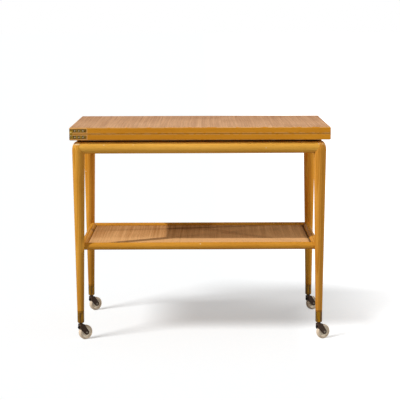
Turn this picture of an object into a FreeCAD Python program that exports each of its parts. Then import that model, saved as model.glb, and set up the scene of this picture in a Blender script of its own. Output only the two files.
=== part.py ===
import FreeCAD, Part
import math
import os
import re
import Sketcher

# Flip-top tea trolley: a round-railed frame on four castors, a shelf, and a top of two boards.
# The lower board slides to the right on guides in the frame. The leaf folds over to the left on
# link hinges let into the front and back edges.
# Millimetres. +X right, +Y back, +Z up. The origin is on the floor, midway between the legs.

SIZES = (
    ("board_length", 800.0),
    ("board_width", 480.0),
    ("board_thickness", 19.75),
    ("board_gap", 0.4),
    ("board_clearance", 6.1),
    ("board_offset", 2.8),
    ("lipping_width", 15.0),
    ("veneer_thickness", 0.6),
    ("arris_radius", 3.6),
    ("frame_inset_x", 28.5),
    ("frame_inset_y", 20.2),
    ("top_rail_height", 602.0),
    ("top_rail_radius", 18.0),
    ("leg_end_clearance", 6.0),
    ("leg_end_radius", 9.6),
    ("leg_shoulder_radius", 15.4),
    ("leg_shoulder_height", 6.1),
    ("leg_top_radius", 19.4),
    ("leg_dome_height", 21.0),
    ("leg_foot_radius", 10.6),
    ("spigot_radius", 9.2),
    ("tenon_radius", 7.5),
    ("tenon_inner", 8.5),
    ("tenon_outer", 26.0),
    ("shelf_rail_radius", 11.25),
    ("shelf_rail_height", 294.0),
    ("shelf_rail_inset", 10.0),
    ("shelf_rise", 3.0),
    ("shelf_tongue", 7.5),
    ("shelf_thickness", 11.0),
    ("guide_clearance", 1.3),
    ("guide_width", 24.0),
    ("guide_height", 36.1),
    ("groove_cover", 14.7),
    ("groove_height", 8.4),
    ("groove_depth", 9.0),
    ("groove_stop_left", 21.5),
    ("groove_stop_right", 32.9),
    ("guide_screw_inset", 6.0),
    ("guide_screw_length", 26.0),
    ("runner_clearance", 0.5),
    ("runner_width", 18.0),
    ("runner_height", 28.1),
    ("runner_stop_gap", 0.8),
    ("runner_length", 290.0),
    ("tongue_reach", 8.4),
    ("tongue_clearance", 0.3),
    ("runner_screw_inset", 22.0),
    ("runner_screw_length", 42.0),
    ("screw_radius", 1.6),
    ("screw_head_radius", 3.2),
    ("screw_head_depth", 1.6),
    ("screw_point", 3.0),
    ("pin_inset", 5.0),
    ("pin_radius", 1.6),
    ("pin_clearance", 0.05),
    ("hinge_width", 9.4),
    ("hinge_length", 52.5),
    ("hinge_thickness", 3.0),
    ("link_thickness", 1.5),
    ("link_clearance", 0.3),
    ("hinge_screw_first", 17.0),
    ("hinge_screw_last", 10.5),
    ("hinge_screw_length", 14.0),
    ("ferrule_floor", 1.6),
    ("ferrule_length", 34.0),
    ("ferrule_round", 5.0),
    ("socket_radius", 5.0),
    ("socket_length", 39.0),
    ("stem_radius", 4.0),
    ("stem_clearance", 0.05),
    ("stem_end_gap", 4.0),
    ("stem_chamfer", 2.0),
    ("stem_neck_radius", 3.0),
    ("collar_radius", 5.8),
    ("collar_height", 3.5),
    ("wheel_radius", 22.5),
    ("wheel_trail", 16.0),
    ("tyre_width", 15.0),
    ("tyre_round", 5.0),
    ("tyre_thickness", 6.1),
    ("disc_width", 9.0),
    ("disc_rim_width", 12.0),
    ("disc_rim_thickness", 2.2),
    ("disc_slope", 1.0),
    ("boss_radius", 6.4),
    ("boss_proud", 0.4),
    ("boss_clearance", 0.3),
    ("axle_radius", 2.5),
    ("axle_clearance", 0.05),
    ("axle_head_radius", 3.5),
    ("axle_head_slope", 1.0),
    ("axle_head_height", 1.4),
    ("crown_clearance", 1.3),
    ("crown_thickness", 3.2),
    ("crown_slope", 1.5),
    ("crown_bevel", 2.0),
    ("fork_arm_thickness", 2.0),
    ("fork_arm_radius", 7.8),
    ("fork_front", 6.0),
    ("fork_web", 1.5),
    ("fork_web_height", 11.2),
    ("fork_back", 9.0),
    ("fork_corner", 3.5),
    ("bumper_drop", 10.1),
    ("bumper_radius", 4.3),
    ("bumper_rim", 0.6),
    ("cut_overshoot", 1.0),
    ("caster_turn_front_left", 34.0),
    ("caster_turn_front_right", 30.0),
    ("caster_turn_back_left", 37.0),
    ("caster_turn_back_right", 30.0),
)

# Places that several pieces share, each worked out from the sizes.
LEG_X = "( board_length / 2 - frame_inset_x )"
LEG_Y = "( board_width / 2 - frame_inset_y )"
UNDERSIDE = "( top_rail_height + top_rail_radius + board_clearance )"
LOWER_FACE = f"( {UNDERSIDE} + board_thickness )"
SEAM = f"( {LOWER_FACE} + board_gap / 2 )"
LEAF_FACE = f"( {LOWER_FACE} + board_gap )"
TOP_FACE = f"( {LEAF_FACE} + board_thickness )"
LEFT_END = "( board_offset - board_length / 2 )"
RIGHT_END = "( board_offset + board_length / 2 )"
FRONT_EDGE = "( -1 * board_width / 2 )"
PIN_X = f"( {LEFT_END} + pin_inset )"
PIN_LOW = f"( {LOWER_FACE} - pin_inset )"
PIN_HIGH = f"( {LEAF_FACE} + pin_inset )"

SHELF_FACE = "( shelf_rail_height + shelf_rise )"
RAIL_X = f"( {LEG_X} - shelf_rail_inset )"
RAIL_Y = f"( {LEG_Y} - shelf_rail_inset )"
RAIL_CHORD = "sqrt( shelf_rail_radius * shelf_rail_radius - shelf_rise * shelf_rise )"

GUIDE_OUTER = f"( {LEG_Y} - top_rail_radius - guide_clearance )"
GUIDE_INNER = f"( {GUIDE_OUTER} - guide_width )"
GROOVE_TOP = f"( {UNDERSIDE} - groove_cover )"
GROOVE_LEFT = f"( groove_stop_left - {LEG_X} )"
GROOVE_RIGHT = f"( {LEG_X} - groove_stop_right )"
RUNNER_OUTER = f"( {GUIDE_INNER} - runner_clearance )"
RUNNER_INNER = f"( {RUNNER_OUTER} - runner_width )"
RUNNER_LEFT = f"( {GROOVE_LEFT} + runner_stop_gap )"
RUNNER_LOW = f"( {UNDERSIDE} - runner_height )"

LEG_END = f"( {UNDERSIDE} - leg_end_clearance )"
LEG_SHOULDER = f"( {LEG_END} - leg_shoulder_height )"
LEG_DOME = f"( {LEG_SHOULDER} - leg_dome_height )"
CROWN_LOW = "( 2 * wheel_radius + crown_clearance )"
CROWN_TOP = f"( {CROWN_LOW} + crown_thickness )"
FERRULE_LOW = f"( {CROWN_TOP} + collar_height )"
FERRULE_TOP = f"( {FERRULE_LOW} + ferrule_length )"
LEG_FOOT = f"( {FERRULE_LOW} + ferrule_floor )"
SOCKET_TOP = f"( {FERRULE_LOW} + socket_length )"
STEM_TOP = f"( {SOCKET_TOP} - stem_end_gap )"
STEM_BORE = "( stem_radius + stem_clearance )"

BOSS_WIDTH = "( tyre_width + 2 * boss_proud )"
FORK_SLOT = f"( {BOSS_WIDTH} + 2 * boss_clearance )"
FORK_WIDTH = f"( {FORK_SLOT} + 2 * fork_arm_thickness )"
TYRE_BORE = "( wheel_radius - tyre_thickness )"
RIM_BORE = f"( {TYRE_BORE} - disc_rim_thickness )"

CORNERS = {
    "front_left": (-1, -1),
    "front_right": (1, -1),
    "back_left": (-1, 1),
    "back_right": (1, 1),
}

SIDES = ("front", "right", "back", "left")

SHORT = {"front_left": "fl", "front_right": "fr", "back_left": "bl", "back_right": "br"}

TOUCH = 0.01  # how near two places are taken as one when edges are picked, in millimetres

doc = FreeCAD.newDocument("tea_trolley")
dims = doc.addObject("Spreadsheet::Sheet", "Dims")
parts = []


def fill_sheet():
    """Write each driving dimension beside its name, with the name as its alias."""
    for row, (name, value) in enumerate(SIZES, start=1):
        dims.set(f"A{row}", name)
        dims.set(f"B{row}", str(value))
        dims.setAlias(f"B{row}", name)
    doc.recompute()


def sheet_names(expression):
    """Put the sheet's name in front of every dimension in an expression."""
    known = {name for name, _ in SIZES}
    return re.sub(
        "[a-z_]+",
        lambda word: f"Dims.{word[0]}" if word[0] in known else word[0],
        expression,
    )


def bind(item, **properties):
    """Tie properties of an object to expressions in the sheet."""
    for name, expression in properties.items():
        item.setExpression(name, sheet_names(str(expression)))
    return item


def place(item, x="0", y="0", z="0", axis=(0, 0, 1), turn=0.0):
    """Turn an object about an axis and tie its position to the sheet."""
    item.Placement = FreeCAD.Placement(
        FreeCAD.Vector(), FreeCAD.Rotation(FreeCAD.Vector(*axis), evaluate(str(turn)))
    )
    if isinstance(turn, str):
        item.setExpression("Placement.Rotation.Angle", sheet_names(turn))
    for letter, expression in zip("xyz", (x, y, z)):
        item.setExpression(f"Placement.Base.{letter}", sheet_names(str(expression)))
    return item


def keep(item, label):
    """Mark an object as a finished sub-part under its own label."""
    item.Label = label
    parts.append(item)
    return item


def add(kind, name):
    """Add one object to the document."""
    return doc.addObject(kind, name)


def box(name, x, y, z, length, width, height):
    """A block given by its low corner and its three sizes."""
    item = bind(add("Part::Box", name), Length=length, Width=width, Height=height)
    return place(item, x, y, z)


def fuse(name, pieces):
    """One solid from several that touch or overlap."""
    item = add("Part::MultiFuse", name)
    item.Shapes = pieces
    return item


def cut(name, base, tools):
    """A base with one or more tools taken away."""
    item = add("Part::Cut", name)
    item.Base = base
    item.Tool = tools[0] if len(tools) == 1 else group(f"{name}_tools", tools)
    return item


def common(name, base, tool):
    """The volume that two objects share."""
    item = add("Part::Common", name)
    item.Base = base
    item.Tool = tool
    return item


def group(name, pieces):
    """Several separate solids kept together."""
    item = add("Part::Compound", name)
    item.Links = pieces
    return item


def mirror(name, source, normal, **base):
    """The mirror image of an object in a plane through a point of the sheet."""
    item = add("Part::Mirroring", name)
    item.Source = source
    item.Normal = FreeCAD.Vector(*normal)
    for letter, expression in base.items():
        item.setExpression(f"Base.{letter}", sheet_names(expression))
    return item


def origin_plane(body, role):
    """One of a body's own origin planes."""
    return next(item for item in body.Origin.OriginFeatures if item.Role == role)


def evaluate(expression):
    """The number that an expression of the sheet gives."""
    return float(dims.evalExpression(sheet_names(expression)))


def outline(body, name, role, corners):
    """A closed sketch. Each corner is (across, up) or (across, up, radius): a radius joins it to the
    next corner by an arc of up to half a circle, which bulges to the right of the way."""
    sketch = body.newObject("Sketcher::SketchObject", name)
    sketch.AttachmentSupport = [(origin_plane(body, role), "")]
    sketch.MapMode = "FlatFace"
    points = [FreeCAD.Vector(evaluate(c[0]), evaluate(c[1]), 0) for c in corners]
    ends = []
    for i, corner in enumerate(corners):
        start, end = points[i], points[(i + 1) % len(points)]
        if len(corner) == 2:
            ends.append((sketch.addGeometry(Part.LineSegment(start, end), False), 1, 2))
            continue
        ends.append(add_arc(sketch, start, end, corner[2]))
    for i, corner in enumerate(corners):
        this, start, _ = ends[i]
        before, _, finish = ends[i - 1]
        sketch.addConstraint(Sketcher.Constraint("Coincident", before, finish, this, start))
        for kind, expression, value in (
            ("DistanceX", corner[0], points[i].x),
            ("DistanceY", corner[1], points[i].y),
        ):
            index = sketch.addConstraint(Sketcher.Constraint(kind, -1, 1, this, start, value))
            sketch.setExpression(f"Constraints[{index}]", sheet_names(expression))
    return sketch


def add_arc(sketch, start, end, radius_expression):
    """An arc between two points of a sketch, with its radius tied to the sheet."""
    radius = evaluate(radius_expression)
    chord = end - start
    half = chord.Length / 2
    rise = radius - math.sqrt(max(radius * radius - half * half, 0.0))
    aside = FreeCAD.Vector(chord.y, -chord.x, 0).normalize()
    middle = (start + end) * 0.5 + aside * rise
    arc = sketch.addGeometry(Part.Arc(start, middle, end), False)
    along = sketch.Geometry[arc].StartPoint
    first, last = (1, 2) if along.distanceToPoint(start) < 1e-6 else (2, 1)
    index = sketch.addConstraint(Sketcher.Constraint("Radius", arc, radius))
    sketch.setExpression(f"Constraints[{index}]", sheet_names(radius_expression))
    return arc, first, last


def new_body(name):
    """An empty body."""
    return add("PartDesign::Body", name)


def turned(name, corners, role="XZ_Plane", about="V_Axis"):
    """A solid turned from an outline about the upright or level axis of its sketch."""
    body = new_body(name)
    sketch = outline(body, f"{name}_outline", role, corners)
    spin = body.newObject("PartDesign::Revolution", f"{name}_turning")
    spin.Profile = sketch
    spin.ReferenceAxis = (sketch, [about])
    spin.Angle = 360.0
    doc.recompute()
    return body


def prism(name, role, corners, length):
    """A body with one outline padded equally to both sides of its plane."""
    body = new_body(name)
    sketch = outline(body, f"{name}_outline", role, corners)
    pad = body.newObject("PartDesign::Pad", f"{name}_pad")
    pad.Profile = sketch
    pad.SideType = "Symmetric"
    bind(pad, Length=length)
    doc.recompute()
    return body


def round_edges(body, name, chosen, radius):
    """Fillet those edges of a body's solid that a test picks out."""
    solid = body.Tip
    edges = solid.Shape.Edges
    fillet = body.newObject("PartDesign::Fillet", name)
    fillet.Base = (solid, [f"Edge{i}" for i, edge in enumerate(edges, start=1) if chosen(edge)])
    bind(fillet, Radius=radius)
    doc.recompute()


def rod(name, radius, length, x, y, z, axis=(0, 0, 1), turn=0.0):
    """A plain round rod from a point, along +Z unless turned."""
    item = bind(add("Part::Cylinder", name), Radius=radius, Height=length)
    return place(item, x, y, z, axis, turn)


# ---------------------------------------------------------------- frame


def leg_blank(name, sign_x, sign_y):
    """A turned leg: foot spigot, straight taper, domed shoulder and a bore for the castor socket."""
    inset = "( leg_top_radius - leg_shoulder_radius )"
    blank = turned(
        name,
        [
            ("0", SOCKET_TOP),
            ("socket_radius", SOCKET_TOP),
            ("socket_radius", LEG_FOOT),
            ("spigot_radius", LEG_FOOT),
            ("spigot_radius", FERRULE_TOP),
            ("leg_foot_radius", FERRULE_TOP),
            (
                "leg_top_radius",
                LEG_DOME,
                f"( leg_dome_height * leg_dome_height + {inset} * {inset} ) / ( 2 * {inset} )",
            ),
            ("leg_shoulder_radius", LEG_SHOULDER),
            ("leg_end_radius", LEG_END),
            ("0", LEG_END),
        ],
    )
    return place(blank, f"{sign_x} * {LEG_X}", f"{sign_y} * {LEG_Y}")


def top_tenons(corner, sign_x, sign_y):
    """The two round stub tenons that enter one leg."""
    length = "tenon_outer - tenon_inner"
    along_x = rod(
        f"tenon_x_{corner}",
        "tenon_radius",
        length,
        f"{sign_x} * ( {LEG_X} - tenon_inner )",
        f"{sign_y} * {LEG_Y}",
        "top_rail_height",
        (0, 1, 0),
        -90.0 * sign_x,
    )
    along_y = rod(
        f"tenon_y_{corner}",
        "tenon_radius",
        length,
        f"{sign_x} * {LEG_X}",
        f"{sign_y} * ( {LEG_Y} - tenon_inner )",
        "top_rail_height",
        (1, 0, 0),
        90.0 * sign_y,
    )
    return along_x, along_y


def mitred_rod(name, half_long, half_wide, radius, height, turn):
    """A round bar along one side of a rectangle, with its inner half mitred at both corners."""
    bar = rod(
        f"{name}_bar",
        radius,
        f"2 * ( {half_long} )",
        f"-1 * ( {half_long} )",
        f"-1 * ( {half_wide} )",
        height,
        (0, 1, 0),
        90.0,
    )
    mitre = prism(
        f"{name}_mitre",
        "XY_Plane",
        [
            (f"-1 * ( {half_long} )", f"-1 * ( {half_wide} + {radius} )"),
            (half_long, f"-1 * ( {half_wide} + {radius} )"),
            (half_long, f"-1 * ( {half_wide} )"),
            (f"{half_long} - {radius}", f"-1 * ( {half_wide} - {radius} )"),
            (f"-1 * ( {half_long} - {radius} )", f"-1 * ( {half_wide} - {radius} )"),
            (f"-1 * ( {half_long} )", f"-1 * ( {half_wide} )"),
        ],
        f"2 * {radius}",
    )
    place(mitre, "0", "0", height)
    both = common(f"{name}_mitred", bar, mitre)
    return place(both, axis=(0, 0, 1), turn=turn)


def rail_sizes(side, long_way, short_way):
    """Half length and half distance apart of the rails on one side."""
    return (long_way, short_way) if side in ("front", "back") else (short_way, long_way)


def side_corners(side):
    """The two corners at the ends of one side of the frame."""
    return [corner for corner in CORNERS if side in corner.split("_")]


def make_frame():
    """Legs, top rails, guides, shelf and ferrules, each fitted to its neighbours."""
    blanks = {}
    tenons = {}
    for corner, (sign_x, sign_y) in CORNERS.items():
        blanks[corner] = leg_blank(f"leg_blank_{corner}", sign_x, sign_y)
        tenons[corner] = top_tenons(corner, sign_x, sign_y)
        keep(cut(f"leg_cut_{corner}", blanks[corner], list(tenons[corner])), f"leg_{corner}")
    screws = [guide_screw(f"guide_screw_{name}", *signs) for name, signs in CORNERS.items()]
    screw_group = keep(group("guide_screw_group", screws), "guide_screws")
    make_guides(blanks, screw_group)
    make_top_rails(blanks, tenons, screw_group)
    make_shelf(blanks)
    make_ferrules()


def make_top_rails(blanks, tenons, guide_screws):
    """Four rails scribed to the legs, with their tenons."""
    for quarter, side in enumerate(SIDES):
        half_long, half_wide = rail_sizes(side, LEG_X, LEG_Y)
        bar = mitred_rod(
            f"top_{side}", half_long, half_wide, "top_rail_radius", "top_rail_height", 90.0 * quarter
        )
        ends = side_corners(side)
        tools = [blanks[corner] for corner in ends]
        if side in ("left", "right"):
            tools.append(guide_screws)
        scribed = cut(f"top_{side}_scribed", bar, tools)
        which = 0 if side in ("front", "back") else 1
        stubs = [tenons[corner][which] for corner in ends]
        keep(fuse(f"top_{side}_rail", [scribed, *stubs]), f"top_rail_{side}")


def shelf_sheet(label, reach_x, reach_y, bottom, thickness):
    """One layer of the shelf, centred between the rails."""
    sheet = box(
        f"{label}_sheet",
        f"-1 * {reach_x}",
        f"-1 * {reach_y}",
        bottom,
        f"2 * {reach_x}",
        f"2 * {reach_y}",
        thickness,
    )
    return keep(sheet, label)


def make_shelf(blanks):
    """A panel held in grooves in four mitred rails, veneered as far as the rails."""
    veneer_low = f"( {SHELF_FACE} - veneer_thickness )"
    sheets = [
        shelf_sheet(
            "shelf_panel",
            f"( {RAIL_X} - shelf_tongue )",
            f"( {RAIL_Y} - shelf_tongue )",
            f"{veneer_low} - shelf_thickness",
            "shelf_thickness",
        ),
        shelf_sheet(
            "shelf_veneer",
            f"( {RAIL_X} - {RAIL_CHORD} )",
            f"( {RAIL_Y} - {RAIL_CHORD} )",
            veneer_low,
            "veneer_thickness",
        ),
    ]
    for quarter, side in enumerate(SIDES):
        half_long, half_wide = rail_sizes(side, RAIL_X, RAIL_Y)
        bar = mitred_rod(
            f"shelf_{side}",
            half_long,
            half_wide,
            "shelf_rail_radius",
            "shelf_rail_height",
            90.0 * quarter,
        )
        tools = [blanks[corner] for corner in side_corners(side)] + sheets
        keep(cut(f"shelf_{side}_fitted", bar, tools), f"shelf_rail_{side}")


def guide_end_rails():
    """The two round end rails at full size, for scribing the guides."""
    return [
        rod(
            f"scribe_{name}",
            "top_rail_radius",
            f"2 * {LEG_Y}",
            f"{sign} * {LEG_X}",
            LEG_Y,
            "top_rail_height",
            (1, 0, 0),
            90.0,
        )
        for name, sign in (("left", -1), ("right", 1))
    ]


def screw(name, length):
    """A countersunk screw along +Z, with the middle of its head's face at the origin."""
    return turned(
        name,
        [
            ("0", "0"),
            ("screw_head_radius", "0"),
            ("screw_radius", "screw_head_depth"),
            ("screw_radius", f"{length} - screw_point"),
            ("0", length),
        ],
    )


def guide_screw(name, sign_x, sign_y):
    """A screw down through a guide's end into the end rail."""
    return place(
        screw(name, "guide_screw_length"),
        f"{sign_x} * ( {LEG_X} - guide_screw_inset )",
        f"{sign_y} * ( {GUIDE_INNER} + {GUIDE_OUTER} ) / 2",
        UNDERSIDE,
        (1, 0, 0),
        180.0,
    )


def make_guides(blanks, screw_group):
    """The grooved bars that the lower board slides on."""
    bar = box(
        "guide_bar",
        f"-1 * {LEG_X}",
        f"-1 * {GUIDE_OUTER}",
        f"{UNDERSIDE} - guide_height",
        f"2 * {LEG_X}",
        "guide_width",
        "guide_height",
    )
    groove = box(
        "guide_groove",
        GROOVE_LEFT,
        f"-1 * ( {GUIDE_INNER} + groove_depth )",
        f"{GROOVE_TOP} - groove_height",
        f"{GROOVE_RIGHT} - {GROOVE_LEFT}",
        "groove_depth + cut_overshoot",
        "groove_height",
    )
    legs = [blanks["front_left"], blanks["front_right"]]
    front = cut("guide_front", bar, [groove, *guide_end_rails(), *legs, screw_group])
    keep(front, "slide_guide_front")
    keep(mirror("guide_back", front, (0, 1, 0)), "slide_guide_back")


def make_ferrules():
    """Brass cups on the leg ends, each with the tube that takes the castor stem."""
    cups = []
    for corner, (sign_x, sign_y) in CORNERS.items():
        cup = turned(
            f"ferrule_{corner}",
            [
                (STEM_BORE, FERRULE_LOW),
                ("leg_foot_radius - ferrule_round", FERRULE_LOW, "ferrule_round"),
                ("leg_foot_radius", f"{FERRULE_LOW} + ferrule_round"),
                ("leg_foot_radius", FERRULE_TOP),
                ("spigot_radius", FERRULE_TOP),
                ("spigot_radius", LEG_FOOT),
                ("socket_radius", LEG_FOOT),
                ("socket_radius", SOCKET_TOP),
                (STEM_BORE, SOCKET_TOP),
            ],
        )
        cups.append(place(cup, f"{sign_x} * {LEG_X}", f"{sign_y} * {LEG_Y}"))
    keep(group("ferrule_group", cups), "leg_ferrules")


# ---------------------------------------------------------------- top


def board_blank():
    """The lower board's outside: rounded at the hinge end of its face, eased around its underside."""
    body = prism(
        "board_blank",
        "XZ_Plane",
        [
            (LEFT_END, UNDERSIDE),
            (RIGHT_END, UNDERSIDE),
            (RIGHT_END, LOWER_FACE),
            (PIN_X, LOWER_FACE, "pin_inset"),
            (LEFT_END, PIN_LOW),
        ],
        "board_width",
    )
    low = evaluate(UNDERSIDE) + TOUCH
    round_edges(body, "board_arris", lambda edge: edge.BoundBox.ZMax < low, "arris_radius")
    return body


def mitre_region(side):
    """The part of the board's plan that holds one lipping strip."""
    deep = "( 4 / 3 * lipping_width )"
    corners = [
        (LEFT_END, FRONT_EDGE),
        (RIGHT_END, FRONT_EDGE),
        (RIGHT_END, f"-1 * {FRONT_EDGE}"),
        (LEFT_END, f"-1 * {FRONT_EDGE}"),
    ]
    inner = [
        (f"{LEFT_END} + {deep}", f"{FRONT_EDGE} + {deep}"),
        (f"{RIGHT_END} - {deep}", f"{FRONT_EDGE} + {deep}"),
        (f"{RIGHT_END} - {deep}", f"-1 * {FRONT_EDGE} - {deep}"),
        (f"{LEFT_END} + {deep}", f"-1 * {FRONT_EDGE} - {deep}"),
    ]
    first = SIDES.index(side)
    second = (first + 1) % 4
    region = prism(
        f"mitre_{side}",
        "XY_Plane",
        [corners[first], corners[second], inner[second], inner[first]],
        "3 * board_thickness",
    )
    return place(region, "0", "0", LOWER_FACE)


def field(name, bottom, thickness):
    """A block over the board's field inside the lipping."""
    return box(
        name,
        f"{LEFT_END} + lipping_width",
        f"{FRONT_EDGE} + lipping_width",
        bottom,
        "board_length - 2 * lipping_width",
        "board_width - 2 * lipping_width",
        thickness,
    )


def make_lower_board():
    """Core, veneer, lipping, runners and the lower half of the hinges."""
    plates, plate_blanks = make_hinge_plates()
    hinge_screws = make_hinge_screws()
    runner_screws = make_runner_screws()
    fittings = [*plate_blanks, *link_recesses(), hinge_screws]
    blank = board_blank()
    ring = cut(
        "lipping_ring",
        blank,
        [field("lipping_inside", UNDERSIDE, "board_thickness"), *fittings],
    )
    strips = [common(f"lipping_{side}", ring, mitre_region(side)) for side in SIDES]
    lipping = keep(group("lipping_group", strips), "lower_board_lipping")
    core = field("board_core", UNDERSIDE, "board_thickness - veneer_thickness")
    keep(cut("board_core_drilled", core, [runner_screws]), "lower_board_core")
    top = field("board_veneer", f"{LOWER_FACE} - veneer_thickness", "veneer_thickness")
    keep(top, "lower_board_veneer")
    make_runners(runner_screws)
    return blank, lipping, plates, hinge_screws


def make_runner_screws():
    """Countersunk screws up through both runners into the core, three evenly spaced in each."""
    screws = []
    pitch = "( runner_length / 2 - runner_screw_inset )"
    for sign in (-1, 1):
        for number in range(3):
            item = place(
                screw(f"runner_screw_{sign + 1}_{number}", "runner_screw_length"),
                f"{RUNNER_LEFT} + runner_screw_inset + {number} * {pitch}",
                f"{sign} * ( {RUNNER_INNER} + {RUNNER_OUTER} ) / 2",
                RUNNER_LOW,
            )
            screws.append(item)
    return keep(group("runner_screw_group", screws), "runner_screws")


def make_runners(screws):
    """Battens under the hinge half of the board, with tongues that run in the guides' grooves."""
    batten = box(
        "runner_batten",
        RUNNER_LEFT,
        f"-1 * {RUNNER_OUTER}",
        RUNNER_LOW,
        "runner_length",
        "runner_width",
        "runner_height",
    )
    tongue = box(
        "runner_tongue",
        RUNNER_LEFT,
        f"-1 * ( {GUIDE_INNER} + tongue_reach )",
        f"{GROOVE_TOP} - groove_height + tongue_clearance",
        "runner_length",
        "tongue_reach + runner_clearance + runner_width",
        "groove_height - 2 * tongue_clearance",
    )
    front = cut("runner_front_drilled", fuse("runner_front_blank", [batten, tongue]), [screws])
    keep(front, "runner_front")
    keep(mirror("runner_back_image", front, (0, 1, 0)), "runner_back")


def make_leaf(blank, lipping, plates, hinge_screws):
    """The folding leaf: the lower board's edge and fittings mirrored in the seam, with its own core
    and a veneer over the whole of its outer face."""
    core = field(
        "leaf_core_block",
        f"{LEAF_FACE} + veneer_thickness",
        "board_thickness - 2 * veneer_thickness",
    )
    keep(core, "leaf_core")
    up = (0, 0, 1)
    skin = box(
        "leaf_skin",
        LEFT_END,
        FRONT_EDGE,
        f"{TOP_FACE} - veneer_thickness",
        "board_length",
        "board_width",
        "veneer_thickness",
    )
    outside = mirror("leaf_outside", blank, up, z=SEAM)
    sheets = [
        field("leaf_inner_sheet", LEAF_FACE, "veneer_thickness"),
        common("leaf_outer_sheet", outside, skin),
    ]
    keep(group("leaf_sheets", sheets), "leaf_veneers")
    edge = mirror("leaf_lipping_image", lipping, up, z=SEAM)
    keep(cut("leaf_lipping_cut", edge, [skin]), "leaf_lipping")
    for side, plate in plates.items():
        image = mirror(f"leaf_plate_{side}_image", plate, up, z=SEAM)
        keep(image, f"leaf_hinge_plate_{side}")
    keep(mirror("leaf_screws_image", hinge_screws, up, z=SEAM), "leaf_hinge_screws")


# ---------------------------------------------------------------- hinges


def hinge_bar(name, thickness):
    """The plate's outline: a straight bar with a round inner end and an ear around the pin."""
    half = "hinge_width / 2"
    end_x = f"{LEFT_END} + hinge_length - {half}"
    return prism(
        name,
        "XZ_Plane",
        [
            (f"{PIN_X} - {half}", f"{PIN_LOW} - hinge_width"),
            (end_x, f"{PIN_LOW} - hinge_width", half),
            (end_x, PIN_LOW),
            (f"{PIN_X} + {half}", PIN_LOW, half),
            (f"{PIN_X} - {half}", PIN_LOW),
        ],
        thickness,
    )


def link_relief():
    """What the link sweeps through in the plate's outer half: a round about the pin and a block
    from there to the board's end."""
    reach = "( hinge_width / 2 + link_clearance )"
    around = level_rod("hinge_relief_round", reach, "link_thickness", PIN_LOW)
    beside = box(
        "hinge_relief_block",
        f"{LEFT_END} - cut_overshoot",
        f"{FRONT_EDGE} - cut_overshoot",
        f"{PIN_LOW} - {reach}",
        "pin_inset + cut_overshoot",
        "link_thickness + cut_overshoot",
        f"2 * {reach}",
    )
    return [around, beside]


def level_rod(name, radius, depth, height):
    """A round along Y on the pin's line, from in front of the board to a depth behind its edge."""
    return rod(
        name,
        radius,
        f"{depth} + cut_overshoot",
        PIN_X,
        f"{FRONT_EDGE} + {depth}",
        height,
        (1, 0, 0),
        90.0,
    )


def make_hinge_plates():
    """Front and back plates in the board's edge, half thick around the pin."""
    blank = hinge_bar("hinge_plate_blank", "hinge_thickness")
    place(blank, "0", f"{FRONT_EDGE} + hinge_thickness / 2", "0")
    hole = level_rod(
        "hinge_pin_hole",
        "pin_radius + pin_clearance",
        "hinge_thickness + cut_overshoot",
        PIN_LOW,
    )
    holes = [hinge_screw(f"plate_hole_{number}", number) for number in range(3)]
    front = cut("hinge_plate_cut", blank, [*link_relief(), hole, *holes])
    back = mirror("hinge_plate_back_image", front, (0, 1, 0))
    back_blank = mirror("hinge_blank_back", blank, (0, 1, 0))
    keep(front, "lower_hinge_plate_front")
    keep(back, "lower_hinge_plate_back")
    return {"front": front, "back": back}, [blank, back_blank]


def hinge_screw(name, number):
    """One of three screws level through the front plate into the lipping, evenly spaced."""
    pitch = "( hinge_length - hinge_screw_last - hinge_screw_first ) / 2"
    return place(
        screw(name, "hinge_screw_length"),
        f"{LEFT_END} + hinge_screw_first + {number} * {pitch}",
        FRONT_EDGE,
        f"{PIN_LOW} - hinge_width / 2",
        (1, 0, 0),
        -90.0,
    )


def make_hinge_screws():
    """Three screws in each of the lower plates."""
    front = [hinge_screw(f"hinge_screw_{number}", number) for number in range(3)]
    back = [mirror(f"hinge_screw_back_{i}", item, (0, 1, 0)) for i, item in enumerate(front)]
    return keep(group("hinge_screw_group", front + back), "lower_hinge_screws")


def link_recesses():
    """Corner pockets in the board's edges that the links turn in."""
    front = box(
        "link_recess_front",
        f"{LEFT_END} - cut_overshoot",
        f"{FRONT_EDGE} - cut_overshoot",
        f"{LOWER_FACE} - 2 * pin_inset",
        "2 * pin_inset + cut_overshoot",
        "hinge_thickness + cut_overshoot",
        "2 * pin_inset + cut_overshoot",
    )
    return [front, mirror("link_recess_back", front, (0, 1, 0))]


def make_links():
    """The straight links outside the ears, and the four pins fixed in them."""
    half = "hinge_width / 2"
    blank = prism(
        "link_blank",
        "XZ_Plane",
        [
            (f"{PIN_X} + {half}", PIN_LOW),
            (f"{PIN_X} + {half}", PIN_HIGH, half),
            (f"{PIN_X} - {half}", PIN_HIGH),
            (f"{PIN_X} - {half}", PIN_LOW, half),
        ],
        "link_thickness",
    )
    place(blank, "0", f"{FRONT_EDGE} + link_thickness / 2", "0")
    pins = [
        rod(
            name,
            "pin_radius",
            "hinge_thickness",
            PIN_X,
            f"{FRONT_EDGE} + hinge_thickness",
            height,
            (1, 0, 0),
            90.0,
        )
        for name, height in (("pin_low", PIN_LOW), ("pin_high", PIN_HIGH))
    ]
    front = cut("link_drilled", blank, pins)
    keep(front, "hinge_link_front")
    keep(mirror("link_back_image", front, (0, 1, 0)), "hinge_link_back")
    back_pins = [mirror(f"{pin.Name}_back", pin, (0, 1, 0)) for pin in pins]
    keep(group("pin_group", pins + back_pins), "hinge_pins")


# ---------------------------------------------------------------- castors


def seat(item, corner, height="0"):
    """Stand a castor piece under its leg, turned to its own trail direction."""
    sign_x, sign_y = CORNERS[corner]
    return place(
        item,
        f"{sign_x} * {LEG_X}",
        f"{sign_y} * {LEG_Y}",
        height,
        (0, 0, 1),
        f"caster_turn_{corner}",
    )


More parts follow.
